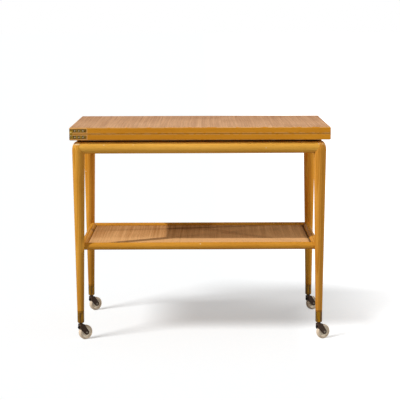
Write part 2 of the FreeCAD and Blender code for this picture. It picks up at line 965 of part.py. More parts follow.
def seat_on_axle(item, corner):
    """Centre a wheel piece on the axle, which lies behind the stem by the trail."""
    sign_x, sign_y = CORNERS[corner]
    turn = f"caster_turn_{corner}"
    return place(
        item,
        f"{sign_x} * {LEG_X} + wheel_trail * cos( {turn} )",
        f"{sign_y} * {LEG_Y} + wheel_trail * sin( {turn} )",
        "wheel_radius",
        (0, 0, 1),
        turn,
    )


def fork_outline():
    """Side view of the fork: crown at the stem, arms slanting down to a round end at the axle."""
    web_low = f"( {CROWN_LOW} - fork_web_height )"
    upper = arm_tangent("fork_back", CROWN_LOW, 1)
    lower = arm_tangent("-1 * fork_front", web_low, -1)
    return [
        ("-1 * fork_front", web_low),
        (*lower, "fork_arm_radius"),
        upper,
        ("fork_back", CROWN_LOW),
        ("fork_back - crown_slope", CROWN_TOP),
        ("crown_bevel - fork_front", CROWN_TOP),
        ("-1 * fork_front", f"{CROWN_TOP} - crown_bevel"),
    ]


def arm_tangent(from_x, from_z, sense):
    """Where a line from a point touches the round end of the fork's arm, on the side given by
    the sense: the centre plus the radius at the angle between the line to the point and the
    touching line."""
    across = f"( {from_x} - wheel_trail )"
    rise = f"( {from_z} - wheel_radius )"
    reach = f"sqrt( {across} * {across} + {rise} * {rise} )"
    angle = f"( atan2( {rise} ; {across} ) - {sense} * acos( fork_arm_radius / {reach} ) )"
    return (
        f"wheel_trail + fork_arm_radius * cos( {angle} )",
        f"wheel_radius + fork_arm_radius * sin( {angle} )",
    )


def make_fork(corner, stem, axle):
    """A pressed fork: one outline padded to full width, slotted for the wheel, with a front web."""
    body = prism(f"fork_body_{corner}", "XZ_Plane", fork_outline(), FORK_WIDTH)
    front = TOUCH - evaluate("fork_front")
    upright = lambda edge: edge.BoundBox.XMax < front and edge.BoundBox.ZLength > 1
    round_edges(body, f"fork_round_{corner}", upright, "fork_corner")
    seat(body, corner)
    sign_x, sign_y = CORNERS[corner]
    slot = bind(
        add("Part::Box", f"fork_slot_{corner}"),
        Length="wheel_trail + 2 * wheel_radius",
        Width=FORK_SLOT,
        Height=CROWN_LOW,
    )
    turn = f"caster_turn_{corner}"
    ahead = "( fork_web - fork_front )"
    aside = f"{FORK_SLOT} / 2"
    place(
        slot,
        f"{sign_x} * {LEG_X} + {ahead} * cos( {turn} ) + {aside} * sin( {turn} )",
        f"{sign_y} * {LEG_Y} + {ahead} * sin( {turn} ) - {aside} * cos( {turn} )",
        "0",
        (0, 0, 1),
        turn,
    )
    return cut(f"fork_{corner}", body, [slot, stem, axle])


def make_stem(corner):
    """The swivel stem: riveted neck in the crown, thrust collar, and shank up into the socket."""
    stem = turned(
        f"stem_{corner}",
        [
            ("0", CROWN_LOW),
            ("stem_neck_radius", CROWN_LOW),
            ("stem_neck_radius", CROWN_TOP),
            ("collar_radius", CROWN_TOP),
            ("collar_radius", FERRULE_LOW),
            ("stem_radius", FERRULE_LOW),
            ("stem_radius", f"{STEM_TOP} - stem_chamfer"),
            ("stem_radius - stem_chamfer", STEM_TOP),
            ("0", STEM_TOP),
        ],
    )
    return seat(stem, corner)


def make_bumper(corner):
    """A round black button on the fork's front web."""
    rim = "-1 * fork_front - bumper_rim"
    button = turned(
        f"bumper_{corner}",
        [
            ("-1 * fork_front", "0"),
            ("-1 * fork_front", "bumper_radius"),
            (rim, "bumper_radius", "bumper_radius"),
            (f"{rim} - bumper_radius", "0"),
        ],
        about="H_Axis",
    )
    return seat(button, corner, f"{CROWN_TOP} - bumper_drop")


def make_axle(corner):
    """The axle with its two low round heads outside the fork's arms."""
    half = f"( {FORK_WIDTH} / 2 )"
    pin = turned(
        f"axle_{corner}",
        [
            ("0", f"-1 * {half} - axle_head_height"),
            ("axle_head_radius - axle_head_slope", f"-1 * {half} - axle_head_height"),
            ("axle_head_radius", f"-1 * {half}"),
            ("axle_radius", f"-1 * {half}"),
            ("axle_radius", half),
            ("axle_head_radius", half),
            ("axle_head_radius - axle_head_slope", f"{half} + axle_head_height"),
            ("0", f"{half} + axle_head_height"),
        ],
        role="XY_Plane",
    )
    return seat_on_axle(pin, corner)


def make_disc(corner):
    """The wheel's disc: boss on the axle, thin web and a wider rim."""
    bore = "axle_radius + axle_clearance"
    half_boss = f"{BOSS_WIDTH} / 2"
    half_web = "disc_width / 2"
    half_rim = "disc_rim_width / 2"
    disc = turned(
        f"disc_{corner}",
        [
            (bore, f"-1 * {half_boss}"),
            ("boss_radius", f"-1 * {half_boss}"),
            ("boss_radius + disc_slope", f"-1 * {half_web}"),
            (f"{RIM_BORE} - disc_slope", f"-1 * {half_web}"),
            (RIM_BORE, f"-1 * {half_rim}"),
            (TYRE_BORE, f"-1 * {half_rim}"),
            (TYRE_BORE, half_rim),
            (RIM_BORE, half_rim),
            (f"{RIM_BORE} - disc_slope", half_web),
            ("boss_radius + disc_slope", half_web),
            ("boss_radius", half_boss),
            (bore, half_boss),
        ],
        role="XY_Plane",
    )
    return seat_on_axle(disc, corner)


def make_tyre(corner):
    """The tyre: a flat tread with round shoulders."""
    half = "tyre_width / 2"
    tyre = turned(
        f"tyre_{corner}",
        [
            (TYRE_BORE, f"-1 * {half}"),
            ("wheel_radius - tyre_round", f"-1 * {half}", "tyre_round"),
            ("wheel_radius", f"tyre_round - {half}"),
            ("wheel_radius", f"{half} - tyre_round", "tyre_round"),
            ("wheel_radius - tyre_round", half),
            (TYRE_BORE, half),
        ],
        role="XY_Plane",
    )
    return seat_on_axle(tyre, corner)


def make_castors():
    """Four swivel castors, each with its own stem, fork, bumper, axle, disc and tyre."""
    for corner, short in SHORT.items():
        stem = keep(make_stem(corner), f"caster_stem_{short}")
        axle = keep(make_axle(corner), f"caster_axle_{short}")
        keep(make_fork(corner, stem, axle), f"caster_fork_{short}")
        keep(make_bumper(corner), f"caster_bumper_{short}")
        keep(make_disc(corner), f"wheel_disc_{short}")
        keep(make_tyre(corner), f"wheel_tyre_{short}")


# ---------------------------------------------------------------- export


def check():
    """Stop unless every object computed and every sub-part is a valid solid."""
    for item in doc.Objects:
        if {"Invalid", "Error"} & set(item.State):
            raise RuntimeError(f"{item.Name} is {item.State}")
    for item in parts:
        if item.Shape.isNull() or not item.Shape.isValid() or not item.Shape.Solids:
            raise RuntimeError(f"{item.Label} has no valid solid")


def main():
    """Build the whole trolley and write one file for each sub-part."""
    fill_sheet()
    make_frame()
    make_leaf(*make_lower_board())
    make_links()
    make_castors()
    doc.recompute()
    check()
    os.makedirs("parts", exist_ok=True)
    for item in parts:
        item.Shape.exportStep(f"parts/{item.Label}.step")


main()
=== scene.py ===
import math

import bpy
import numpy as np
from bpy.props import FloatProperty, FloatVectorProperty, PointerProperty
from mathutils import Matrix, Vector


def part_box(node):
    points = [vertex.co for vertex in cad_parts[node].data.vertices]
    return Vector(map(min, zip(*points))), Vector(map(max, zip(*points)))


bl_info = {
    "name": "Drop Leaf Tea Trolley",
    "version": (1, 0, 0),
    "blender": (4, 5, 0),
    "location": "3D View > Sidebar > Trolley",
    "description": "Lacquered timber, veneer, brass and castor finishes for a folding tea trolley",
    "category": "Object",
}

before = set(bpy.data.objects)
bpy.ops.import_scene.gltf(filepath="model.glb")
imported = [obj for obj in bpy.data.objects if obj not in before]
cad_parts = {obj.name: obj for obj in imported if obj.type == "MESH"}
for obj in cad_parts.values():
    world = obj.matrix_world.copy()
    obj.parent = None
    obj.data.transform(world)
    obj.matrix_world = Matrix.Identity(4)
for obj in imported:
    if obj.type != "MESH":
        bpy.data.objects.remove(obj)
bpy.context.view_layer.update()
CORNERS = ("front_left", "front_right", "back_left", "back_right")
CASTORS = ("fl", "fr", "bl", "br")
SIDES = ("front", "back", "left", "right")

# Lengths in metres.
HEART = (0.031, 0.047)  # from a piece's centre to the line that its growth rings lie round
SHOULDER_DROP = 0.0061  # from a leg's top to the edge of its shoulder
FOOT_REACH = 0.36  # from a ferrule up to where a leg's foot is no darker
# The pale lines beside the seam are partly painted highlight of the arrises.
PALE_OFFSET = 0.00175  # from the seam of the boards to the pale line on either side
LEAF_WIDTH = 0.19  # one leaf of veneer
EAR_LENGTH = 0.008  # the deeper end of a hinge plate, at its pin

# Shares of red, green and blue of a setting's colour that some pieces show. They are partly wood
# that differs from piece to piece and partly painted light and shade: the back legs and the top
# rails are made brighter, the front right leg and the shelf rails darker.
LEG_TONES_AND_PAINTED_LIGHT = ((1.03, 1.05, 1.2), (0.96, 0.91, 1.05), (1.1, 1.08, 1.15), (1.65, 1.34, 1.2))
RAIL_TONES_AND_PAINTED_LIGHT = ((1.22, 1.38, 1.9), (0.92, 0.88, 0.85))  # top and shelf rails
SHELF_SHADE = (1.06, 1.04, 0.88)  # the shelf's veneer
AXLE_SHADE = (0.45, 0.42, 0.38)
# Foot shades are painted shade: how far each leg is made darker towards its foot.
FOOT_PAINTED_SHADES = (0.2, 0.2, 0.5, 0.3)  # how far each leg darkens towards its foot

# Colours of wear on the wood, as linear shares; the first also serves as painted highlight on
# edges.
RUBBED_AND_HIGHLIGHT = (0.86, 0.62, 0.32)
CHIPPED = (0.86, 0.7, 0.46)

# The sun lamps: the name, the setting with its strength, the way its light travels, the degrees
# that it spreads over, and whether the floor alone is included or alone left out.
LAMPS = (
    ("floor_key_lamp", "floor_key", (0.86, 0.70, -1.0), 20.0, "INCLUDE"),
    ("key_lamp", "key", (0.943, 0.526, -1.0), 1.0, "EXCLUDE"),
    ("low_lamp", "low", (0.943, 0.526, -0.35), 3.0, "EXCLUDE"),
    ("cross_lamp", "cross", (-0.722, 0.692, -0.62), 1.5, "EXCLUDE"),
    ("rear_lamp", "rear", (-0.97, -0.19, -0.36), 1.5, "EXCLUDE"),
)
BLACK = (0.0, 0.0, 0.0)
WHITE = (1.0, 1.0, 1.0)
FLOOR_HALF = 60.0
FLOOR_LIGHT = (0.56, 0.56, 0.56)  # the floor's colour for the light that it throws back
FLOOR_SEEN = (0.78, 0.8, 0.81)  # the floor's colour to the camera

# The camera: place in metres, yaw, pitch and roll in radians, lens and sensor width in millimetres.
CAMERA_PLACE = (0.00675, -4.6023, 1.01857)
CAMERA_TURN = (0.0011, -0.1315, -0.0035)
LENS = 128.8
SENSOR = 36.0


def screen_colour(red, green, blue):
    """The linear colour of three 0 to 255 display values: each over 255, to the display curve."""
    share = np.array((red, green, blue)) / 255
    linear = np.where(share <= 0.04045, share / 12.92, ((share + 0.055) / 1.055) ** 2.4)
    return tuple(float(v) for v in linear)


# ---------------------------------------------------------------- settings


def colour_property(name, description, red, green, blue):
    """A colour setting whose default is given in display values."""
    return FloatVectorProperty(
        name=name,
        description=description,
        default=screen_colour(red, green, blue),
        subtype="COLOR",
        min=0.0,
        max=1.0,
    )


def length_property(name, description, default):
    """A small length, in metres."""
    return FloatProperty(
        name=name, description=description, default=default, unit="LENGTH", min=0.0001
    )


def level_property(name, description, default):
    """A strength of light."""
    return FloatProperty(name=name, description=description, default=default, min=0.0)


class TrolleyTimber(bpy.types.PropertyGroup):
    """Colours and grain of the solid wood and the veneer."""

    frame_light: colour_property("Frame, light", "Early wood of legs and rails", 232, 170, 66)
    frame_dark: colour_property("Frame, dark", "Late wood of legs and rails", 186, 118, 24)
    lipping_light: colour_property("Lipping, light", "Early wood of the edges", 228, 155, 42)
    lipping_dark: colour_property("Lipping, dark", "Late wood of the edges", 188, 115, 22)
    veneer_light: colour_property("Veneer, light", "Pale streaks of the veneer", 219, 170, 124)
    veneer_dark: colour_property("Veneer, dark", "Dark streaks of the veneer", 163, 113, 70)
    board: colour_property("Core board", "Underside of the boards and the shelf", 186, 142, 92)
    slide_light: colour_property("Slides, light", "Early wood of guides and runners", 160, 112, 62)
    slide_dark: colour_property("Slides, dark", "Late wood of guides and runners", 112, 72, 36)
    ring_width: length_property("Ring width", "Distance between two growth rings", 0.0042)
    streak_width: length_property("Streak width", "Distance between two veneer streaks", 0.006)
    # The wear setting also scales the painted highlights on edges, seams and shoulders.
    wear_and_highlight: FloatProperty(
        name="Wear",
        description="How far the lacquer is rubbed pale along edges",
        default=0.55,
        subtype="FACTOR",
        min=0.0,
        max=1.0,
    )


class TrolleyFittings(bpy.types.PropertyGroup):
    """Colours of the brass, steel, rubber and plastic, and sizes of the small fittings."""

    hinge_brass: colour_property("Hinge brass", "Bright brass of the hinges", 172, 134, 42)
    hinge_tarnish: colour_property("Hinge tarnish", "Olive tarnish on the hinges", 52, 31, 3)
    screw_metal: colour_property("Screws", "Screw heads", 206, 178, 124)
    ferrule_brass: colour_property("Ferrule brass", "Rubbed brass of the ferrules", 144, 101, 22)
    ferrule_tarnish: colour_property("Ferrule tarnish", "Brown tarnish on the ferrules", 78, 50, 8)
    bronze: colour_property("Fork", "Dark bronzed steel of the forks", 62, 42, 26)
    steel: colour_property("Steel", "Axle heads and hidden screws", 176, 168, 156)
    bumper: colour_property("Bumper", "Black rubber buttons", 16, 12, 10)
    disc: colour_property("Wheel disc", "Cream moulded wheel discs", 252, 238, 214)
    tyre: colour_property("Tyre", "Beige rubber tyres", 228, 206, 178)
    slot_width: length_property("Screw slot", "Width of the slots in the screw heads", 0.0009)
    joint_line: length_property("Joint line", "Width of the dark line round a plate", 0.0009)


class TrolleyStudio(bpy.types.PropertyGroup):
    """Levels of the studio light."""

    key: level_property("Key", "The key light on the trolley", 2.55)
    floor_key: level_property("Floor key", "The soft key light on the floor", 2.7)
    low: level_property("Low", "The low light from the key's side", 0.5)
    cross: level_property("Cross", "The low light from the right front", 0.45)
    rear: level_property("Rear", "The low light from the right back", 1.2)
    sky: level_property("Surround", "The even light all round", 0.2)
    floor_glow: level_property("Floor glow", "Brightness that the camera adds to the floor", 0.39)


# ---------------------------------------------------------------- shader expressions


class Socket:
    """An output of a shader node. Arithmetic on it adds Math nodes to its shader."""

    def __init__(self, shader, out):
        self.shader = shader
        self.out = out

    def math(self, operation, *values):
        """One Math node, with this socket first unless the values say otherwise."""
        inputs = dict(enumerate(values))
        return self.shader.node("ShaderNodeMath", {"operation": operation}, inputs)[0]

    def __add__(self, other):
        return self.math("ADD", self, other)

    def __radd__(self, other):
        return self.math("ADD", other, self)

    def __sub__(self, other):
        return self.math("SUBTRACT", self, other)

    def __rsub__(self, other):
        return self.math("SUBTRACT", other, self)

    def __mul__(self, other):
        return self.math("MULTIPLY", self, other)

    def __rmul__(self, other):
        return self.math("MULTIPLY", other, self)

    def __truediv__(self, other):
        return self.math("DIVIDE", self, other)

    def __rtruediv__(self, other):
        return self.math("DIVIDE", other, self)

    def __pow__(self, other):
        return self.math("POWER", self, other)

    def __mod__(self, other):
        return self.math("FLOORED_MODULO", self, other)

    def __lt__(self, other):
        return self.math("LESS_THAN", self, other)

    def __gt__(self, other):
        return self.math("GREATER_THAN", self, other)

    def __abs__(self):
        return self.math("ABSOLUTE", self)

    def floor(self):
        """The whole number below."""
        return self.math("FLOOR", self)

    def least(self, other):
        """The smaller of two values."""
        return self.math("MINIMUM", self, other)

    def most(self, other):
        """The larger of two values."""
        return self.math("MAXIMUM", self, other)

    def rise(self, low, high):
        """0 below low, 1 above high, and a smooth step between them."""
        return self.shader.node(
            "ShaderNodeMapRange",
            {"interpolation_type": "SMOOTHSTEP"},
            {"Value": self, "From Min": low, "From Max": high},
        )[0]


class Node:
    """A shader node whose outputs are read as sockets, by name or number."""

    def __init__(self, shader, made):
        self.shader = shader
        self.made = made

    def __getitem__(self, key):
        return Socket(self.shader, self.made.outputs[key])


class Shader:
    """The nodes of a material, or of a world, being wired up."""

    def __init__(self, owner):
        owner.use_nodes = True
        self.owner = owner
        self.tree = owner.node_tree
        self.tree.nodes.clear()

    def node(self, kind, settings=None, values=None):
        """Any node: its type, its settings, then the values or links of its sockets."""
        made = self.tree.nodes.new(kind)
        for key, value in (settings or {}).items():
            setattr(made, key, value)
        for key, value in (values or {}).items():
            self.feed(made.inputs[key], value)
        return Node(self, made)

    def feed(self, socket, value):
        """Link a socket to a value, or set it."""
        if isinstance(value, Socket):
            self.tree.links.new(value.out, socket)
        elif socket.type == "RGBA" and len(value) == 3:
            socket.default_value = (*value, 1.0)
        else:
            socket.default_value = value

    def place(self):
        """The three object coordinates, in metres."""
        point = self.node("ShaderNodeTexCoord")["Object"]
        split = self.node("ShaderNodeSeparateXYZ", None, {0: point})
        return split["X"], split["Y"], split["Z"]

    def vector(self, x, y, z):
        """A vector of three values."""
        return self.node("ShaderNodeCombineXYZ", None, {"X": x, "Y": y, "Z": z})[0]

    def noise(self, x, y, z, detail=2.0, roughness=0.5):
        """Noise from 0 to 1 at a point that is already scaled."""
        return self.node(
            "ShaderNodeTexNoise",
            {"normalize": True},
            {
                "Vector": self.vector(x, y, z),
                "Scale": 1.0,
                "Detail": detail,
                "Roughness": roughness,
            },
        )["Fac"]

    def spots(self, x, y, z):
        """Distance to the nearest of many scattered points, at a point that is already scaled."""
        return self.node(
            "ShaderNodeTexVoronoi", None, {"Vector": self.vector(x, y, z), "Scale": 1.0}
        )["Distance"]

    def blend(self, first, second, share):
        """A mix of two colours."""
        mixed = self.node(
            "ShaderNodeMix",
            {"data_type": "RGBA", "clamp_factor": True},
            {0: share, 6: first, 7: second},
        )
        return mixed[2]

    def bump(self, height, depth):
        """A normal from a height of 0 to 1 over a depth in metres."""
        return self.node(
            "ShaderNodeBump", None, {"Height": height, "Distance": depth, "Strength": 1.0}
        )[0]

    def seen(self):
        """1 for what the camera sees, also in reflections and through glass, and 0 for light."""
        path = self.node("ShaderNodeLightPath")
        straight = path["Is Camera Ray"]
        return straight.most(path["Is Glossy Ray"]).most(path["Is Transmission Ray"])

    def finish(self, **values):
        """The finished material, with each surface input by its name, underscores for spaces."""
        named = {key.replace("_", " "): value for key, value in values.items()}
        surface = self.node("ShaderNodeBsdfPrincipled", None, named)
        self.node("ShaderNodeOutputMaterial", None, {"Surface": surface["BSDF"]})
        return self.owner


def material_shader(name):
    """The shader of a new material."""
    return Shader(bpy.data.materials.new(name))


# ---------------------------------------------------------------- wood


def middle(node):
    """The centre of a solid's box, in metres."""
    low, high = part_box(node)
    return (low + high) / 2


def shaded(colour, shade):
    """A colour times a share for each of red, green and blue."""
    return tuple(min(1.0, value * share) for value, share in zip(colour, shade))


def darker(colour, share):
    """A colour times one share."""
    return tuple(value * share for value in colour)


def growth(shader, along, across, deep, seed, ring_width):
    """Growth rings, fibres, pores and clouds of solid wood.

    Ring number = distance from a heart line outside the piece, bent by slow noise, over the ring
    width. Late wood rises through each ring and drops at its end. Fibres and pores are noise drawn
    out along the grain.
    """
    sway = shader.noise(along * 2.3 + seed, across * 11, deep * 11, 1.5) - 0.5
    swing = shader.noise(along * 1.9 - seed, across * 11 + 5, deep * 11, 1.5) - 0.5
    heart_across = across + (HEART[0] + 0.004 * math.sin(seed)) + sway * 0.014
    heart_deep = deep + (HEART[1] + 0.006 * math.cos(seed)) + swing * 0.014
    ring = ((heart_across * heart_across + heart_deep * heart_deep) ** 0.5 / ring_width) % 1.0
    late = ring.rise(0.25, 0.9) * (1.0 - ring.rise(0.93, 1.0))
    fibre = shader.noise(along * 11 + seed, across * 900, deep * 900, 3.0, 0.6)
    pore = shader.noise(along * 70, across * 2400 + seed, deep * 2400, 1.0).rise(0.6, 0.72)
    cloud = shader.noise(along * 4 + seed * 3, across * 17, deep * 17, 2.0)
    return late, fibre, pore, cloud


def dents(shader, x, y, z, seed):
    """Sparse small dents and chips, 1 in the middle of each, about 40 mm apart."""
    apart = shader.spots(x * 24 + seed, y * 24, z * 24 - seed)
    return 1.0 - apart.rise(0.02, 0.07)


def timber(name, axis, seed, light, dark, ring_width, sheen=0.4, wear_and_shade=None):
    """Clear lacquer over solid wood with its grain along one axis through the piece's centre.

    The wear and shade function, where given, takes the shader and the point from the centre, and
    gives how far the lacquer is made pale there, partly as wear and partly as painted highlight,
    and how far it is darkened, at dark joint lines and as painted shade.
    """
    shader = material_shader(name)
    x, y, z = shader.place()
    centre = middle(name)
    x, y, z = x - centre.x, y - centre.y, z - centre.z
    along, across, deep = {"X": (x, y, z), "Y": (y, x, z), "Z": (z, x, y)}[axis]
    rubbed_and_highlit, dark_joints_and_shade = wear_and_shade(shader, x, y, z) if wear_and_shade else (0.0, 0.0)
    grain = (along, across, deep)
    return lacquered(shader, grain, (x, y, z), seed, light, dark, ring_width, sheen, rubbed_and_highlit, dark_joints_and_shade)


def lacquered(shader, grain, place, seed, light, dark, ring_width, sheen, rubbed_and_highlit=0.0, dark_joints_and_shade=0.0):
    """Colour, roughness and relief of lacquered solid wood from its grain directions."""
    late, fibre, pore, cloud = growth(shader, *grain, seed, ring_width)
    chip = dents(shader, *place, seed)
    tone = late * 0.4 + (fibre - 0.5) * 0.8 + (cloud - 0.5) * 0.8 + 0.32
    colour = shader.blend(light, dark, tone)
    colour = shader.blend(colour, darker(dark, 0.4), pore * 0.45)
    # Wear and painted highlight: the pale blend on edges.
    colour = shader.blend(colour, RUBBED_AND_HIGHLIGHT, rubbed_and_highlit)
    # Painted shade and dark joint lines: the dark blend, which also darkens the legs towards their
    # feet.
    colour = shader.blend(colour, darker(dark, 0.3), dark_joints_and_shade)
    colour = shader.blend(colour, CHIPPED, chip * 0.6)
    rough = sheen + (fibre - 0.5) * 0.12 + pore * 0.12 + chip * 0.2 + rubbed_and_highlit * 0.2
    relief = fibre * 0.35 - pore * 0.5 - chip * 1.0
    return shader.finish(
        Base_Color=colour,
        Roughness=rough,
        Specular_IOR_Level=0.0,
        Coat_Weight=0.12,
        Coat_Roughness=0.3,
        Normal=shader.bump(relief, 0.00008),
    )


def edge_wear_and_highlight(shader, x, y, z, away, amount, seed):
    """A ragged pale line along an edge, used for wear and as painted highlight where an edge
    catches the light: full at the edge and gone about 3 mm away, in patches.
    """
    patch = shader.noise(x * 70 + seed, y * 70, z * 70, 3.0, 0.65).rise(0.36, 0.62)
    near = 1.0 - (away + (patch - 0.5) * 0.0012).rise(0.0006, 0.0034)
    return near * patch * amount


def lipping(name, board, seed, timbers, fittings):
    """Wood of a mitred edge strip: the grain follows each side, and turns at the 45 degree mitres.

    A point belongs to an end strip where it is nearer to the board's end than to its long edge. The
    outer arris, the corners and a line beside the seam on either side are pale, partly as wear and
    partly as painted highlight of arrises catching the light. The wood is dark at the seam, along
    the mitres and round the hinge plates. The distance to a plate is the larger of those past its
    end and past its sides.
    """
    shader = material_shader(name)
    x, y, z = shader.place()
    x = x - board["centre_x"]
    from_end = board["half_long"] - abs(x)
    from_edge = board["half_wide"] - abs(y)
    end_strip = from_end < from_edge
    long_way = shader.vector(x, y, z)
    short_way = shader.vector(y, x, z)
    turned = shader.node(
        "ShaderNodeMix",
        {"data_type": "VECTOR", "clamp_factor": True},
        {0: end_strip, 4: long_way, 5: short_way},
    )[1]
    split = shader.node("ShaderNodeSeparateXYZ", None, {0: turned})
    grain = split["X"], split["Y"], split["Z"]
    corner = (from_end * from_end + from_edge * from_edge) ** 0.5
    arris = abs(z - board["outer_z"])
    from_seam = abs(z - board["seam_z"])
    # Pale lines beside the seam: partly wear, partly painted highlight of the arrises.
    beside = abs((from_seam - PALE_OFFSET) * 1.6)
    rubbed_and_highlit = edge_wear_and_highlight(shader, x, y, z, arris.least(corner), timbers.wear_and_highlight, seed)
    rubbed_and_highlit = rubbed_and_highlit.most(edge_wear_and_highlight(shader, x, y, z, beside, timbers.wear_and_highlight * 0.6, seed + 3.0))
    mitre = 1.0 - abs(from_end - from_edge).rise(0.0001, 0.0005)
    plate = board["plate"]
    past_end = x - (plate["end"] - board["centre_x"])
    past = past_end.most(abs(z - plate["z"]) - plate["half"])
    line = fittings.joint_line
    on_face = 1.0 - from_edge.rise(0.0005, 0.002)
    round_plate = (1.0 - past.rise(line * 0.3, line * 0.7)) * on_face
    pale = past.rise(line * 0.5, line) * (1.0 - past.rise(line * 2, line * 4)) * on_face
    rubbed_and_highlit = rubbed_and_highlit.most(pale * timbers.wear_and_highlight * 0.7)
    seam = (1.0 - from_seam.rise(0.0004, 0.0024)) * 0.5
    dark_joints_and_shade = (mitre * 0.5).most(round_plate * 0.8).most(seam)
    light, dark = tuple(timbers.lipping_light), tuple(timbers.lipping_dark)
    width = timbers.ring_width * 0.7
    return lacquered(shader, grain, (x, y, z), seed, light, dark, width, 0.42, rubbed_and_highlit, dark_joints_and_shade)


def veneer(name, seed, timbers, shade=(1.0, 1.0, 1.0), border=None):
    """Straight-grained veneer laid front to back in leaves, darker towards the back as painted
    shade.

    Streaks are noise along X at the streak width and drawn out along Y, shifted in each leaf. The
    border, where given, is the half length and half width of a veneer set between rails: a dark
    joint line runs round it, widened at the ends and most at the right as painted shade, and it is
    paler along the front and to the right as painted light.
    """
    shader = material_shader(name)
    x, y, _ = shader.place()
    leaf = ((x + 10.0) / LEAF_WIDTH).floor()
    shift = leaf * 7.31 + seed
    lean = shader.noise(x * 3 + seed, y * 2.5, leaf, 2.0) - 0.5
    u = x + lean * 0.012
    pitch = timbers.streak_width
    wide = shader.noise(u / pitch + shift, y * 1.3, seed, 2.0, 0.55)
    fine = shader.noise(u / pitch * 5 + shift, y * 6, seed, 3.0, 0.65)
    pore = shader.noise(x * 2200, y * 60, seed, 1.0).rise(0.58, 0.7)
    cloud = shader.noise(x * 6 + seed, y * 6, leaf * 1.7, 2.0)
    # Painted shade: darker towards the back.
    back = y.rise(-0.14, 0.26) * 0.36
    tone = (wide - 0.5) * 1.2 + (fine - 0.5) * 1.0 + (cloud - 0.5) * 0.6 + back + 0.46
    if border:
        # Painted light: paler along the front and to the right.
        near = 1.0 - (y + border[1]).rise(0.1, 0.17)
        tone = tone - near * 0.45 - x.rise(-0.15, 0.25) * 0.4
    light, dark = shaded(timbers.veneer_light, shade), shaded(timbers.veneer_dark, shade)
    colour = shader.blend(light, dark, tone)
    colour = shader.blend(colour, darker(dark, 0.5), pore * 0.45)
    if border:
        # Painted shade: the joint line widens at the ends, most at the right.
        ends = ((border[0] - x) * 0.28).least((border[0] + x) * 0.7)
        inside = ends.least(border[1] - abs(y))
        line = 1.0 - inside.rise(0.0006, 0.0026)
        colour = shader.blend(colour, darker(dark, 0.25), line * 0.85)
    rough = 0.55 + (fine - 0.5) * 0.15 + pore * 0.1
    return shader.finish(
        Base_Color=colour,
        Roughness=rough,
        Specular_IOR_Level=0.0 if border else 0.05,
        Normal=shader.bump(fine * 0.4 - pore * 0.6, 0.00006),
    )


def core(name, seed, colour):
    """Bare board, brushed along X, with fine flecks."""
    shader = material_shader(name)
    x, y, z = shader.place()
    streak = shader.noise(x * 8 + seed, y * 500, z * 500, 3.0, 0.6)
    cloud = shader.noise(x * 5, y * 9 + seed, z * 5, 2.0)
    fleck = shader.noise(x * 90, y * 900, z * 900, 1.0).rise(0.6, 0.75)
    tone = shader.blend(tuple(colour), darker(colour, 0.62), streak * 0.6 + cloud * 0.4)
    tone = shader.blend(tone, darker(colour, 0.4), fleck * 0.35)
    return shader.finish(
        Base_Color=tone,
        Roughness=0.7 + streak * 0.15,
        Normal=shader.bump(streak - fleck, 0.0001),
    )


# ---------------------------------------------------------------- metal, rubber and plastic


def metal_grain(shader, x, y, z, seed, size, drawn=1.0):
    """Noise of old metal: patches drawn out upright, a fine grain and level scratches."""
    patch = shader.noise(x * size + seed, y * size, z * size / drawn, 3.0, 0.6)
    fine = shader.noise(x * 900, y * 900, z * 900 + seed, 2.0)
    scratch = shader.noise(x * 60, y * 60, z * 4200, 1.0).rise(0.55, 0.7)
    return patch, fine, scratch


def from_screw(x, plate):
    """The distance along X from the nearest screw of a plate, with its sign."""
    return (((x - plate["first"]) / plate["pitch"] + 0.5) % 1.0 - 0.5) * plate["pitch"]


def brass(name, bright, tarnish, seed, amount, drawn=1.0):
    """Brass that is bright in patches and tarnished elsewhere."""
    shader = material_shader(name)
    x, y, z = shader.place()
    patch, fine, scratch = metal_grain(shader, x, y, z, seed, 160, drawn)
    dull = (patch + (fine - 0.5) * 0.3 + amount - 0.5).rise(-0.12, 0.12)
    colour = shader.blend(tuple(bright), tuple(tarnish), dull)
    rough = 0.26 + dull * 0.28 + scratch * 0.12
    height = fine * 0.5 - scratch * 0.5
    return shader.finish(
        Base_Color=colour,
        Metallic=1.0 - dull * 0.35,
        Roughness=rough,
        Normal=shader.bump(height, 0.00003),
    )


def plate_brass(name, plate, fittings, seed):
    """Brass of a hinge plate, tarnished in patches: dark along its edges, and with painted shade
    round its screw heads.

    The plate is a bar along X with its middle at one height. A ring of painted shade is dark where
    the distance to the nearest screw's centre is close to the head's radius.
    """
    shader = material_shader(name)
    x, y, z = shader.place()
    level = z - plate["z"]
    inside = (plate["half"] - abs(level)).least(plate["end"] - x)
    edge = (1.0 - inside.rise(0.0006, 0.0022)) * (x - plate["ear"]).rise(0.0, 0.002)
    along = from_screw(x, plate)
    apart = (along * along + level * level) ** 0.5
    # Painted shade: a dark ring round each screw head.
    ring = 1.0 - abs(apart - plate["head"] * 1.2).rise(0.0003, 0.0009)
    patch, fine, scratch = metal_grain(shader, x, y, z, seed, 170)
    dull = (patch + (fine - 0.5) * 0.5 - 0.44).rise(-0.1, 0.3).most(edge.most(ring) * 0.95)
    colour = shader.blend(tuple(fittings.hinge_brass), tuple(fittings.hinge_tarnish), dull)
    return shader.finish(
        Base_Color=colour,
        Metallic=0.85 - dull * 0.6,
        Roughness=0.32 + dull * 0.3 + scratch * 0.12,
        Specular_IOR_Level=0.2,
        Normal=shader.bump(fine * 0.5 - scratch * 0.5 - edge, 0.00005),
    )


